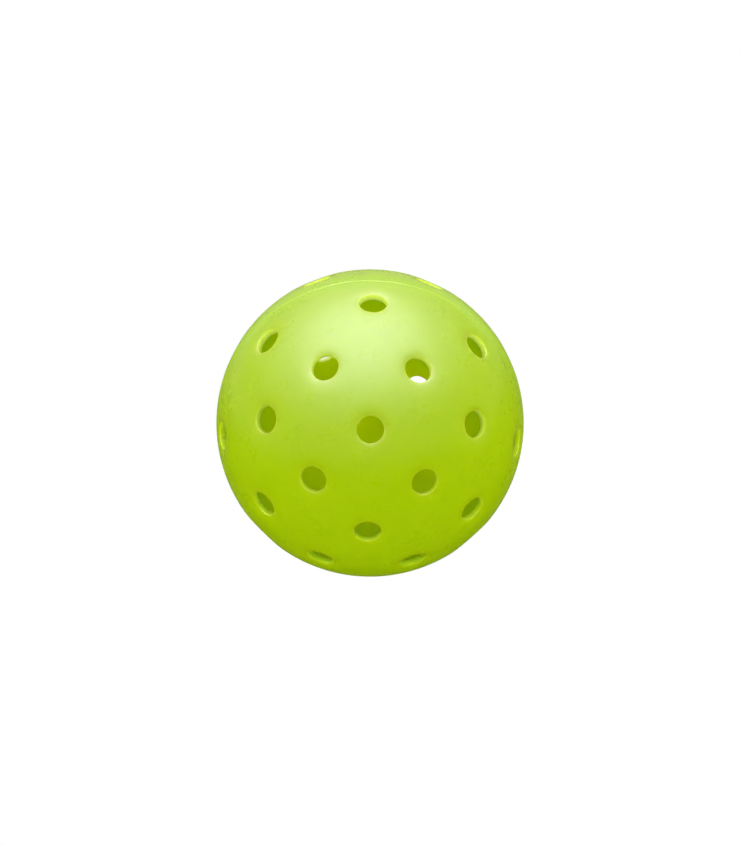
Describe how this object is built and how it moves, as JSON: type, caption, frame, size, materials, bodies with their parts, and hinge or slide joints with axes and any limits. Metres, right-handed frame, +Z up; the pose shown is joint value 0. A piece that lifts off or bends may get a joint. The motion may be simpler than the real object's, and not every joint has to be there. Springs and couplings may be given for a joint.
{
  "type": "pickleball ball",
  "caption": "Hollow perforated outdoor pickleball ball: two identical moulded half shells, turned against each other and butt-welded at the equator.",
  "frame": {"origin": "centre of the ball", "axes": "-Y through the pole of the front half shell, +Y through the pole of the rear one; the weld lies in the XZ plane; +Z up through a column of the front half's holes"},
  "size_m": [0.074, 0.074, 0.074],
  "materials": {
    "front_half_shell": "satin, slightly translucent lime green polyethylene",
    "rear_half_shell": "satin, slightly translucent lime green polyethylene",
    "weld_bead": "remelted polyethylene, slightly paler and glossier"
  },
  "bodies": {
    "root": {"front_half_shell": "front_half_shell", "rear_half_shell": "rear_half_shell", "weld_bead": "weld_bead"}
  },
  "joints": []
}
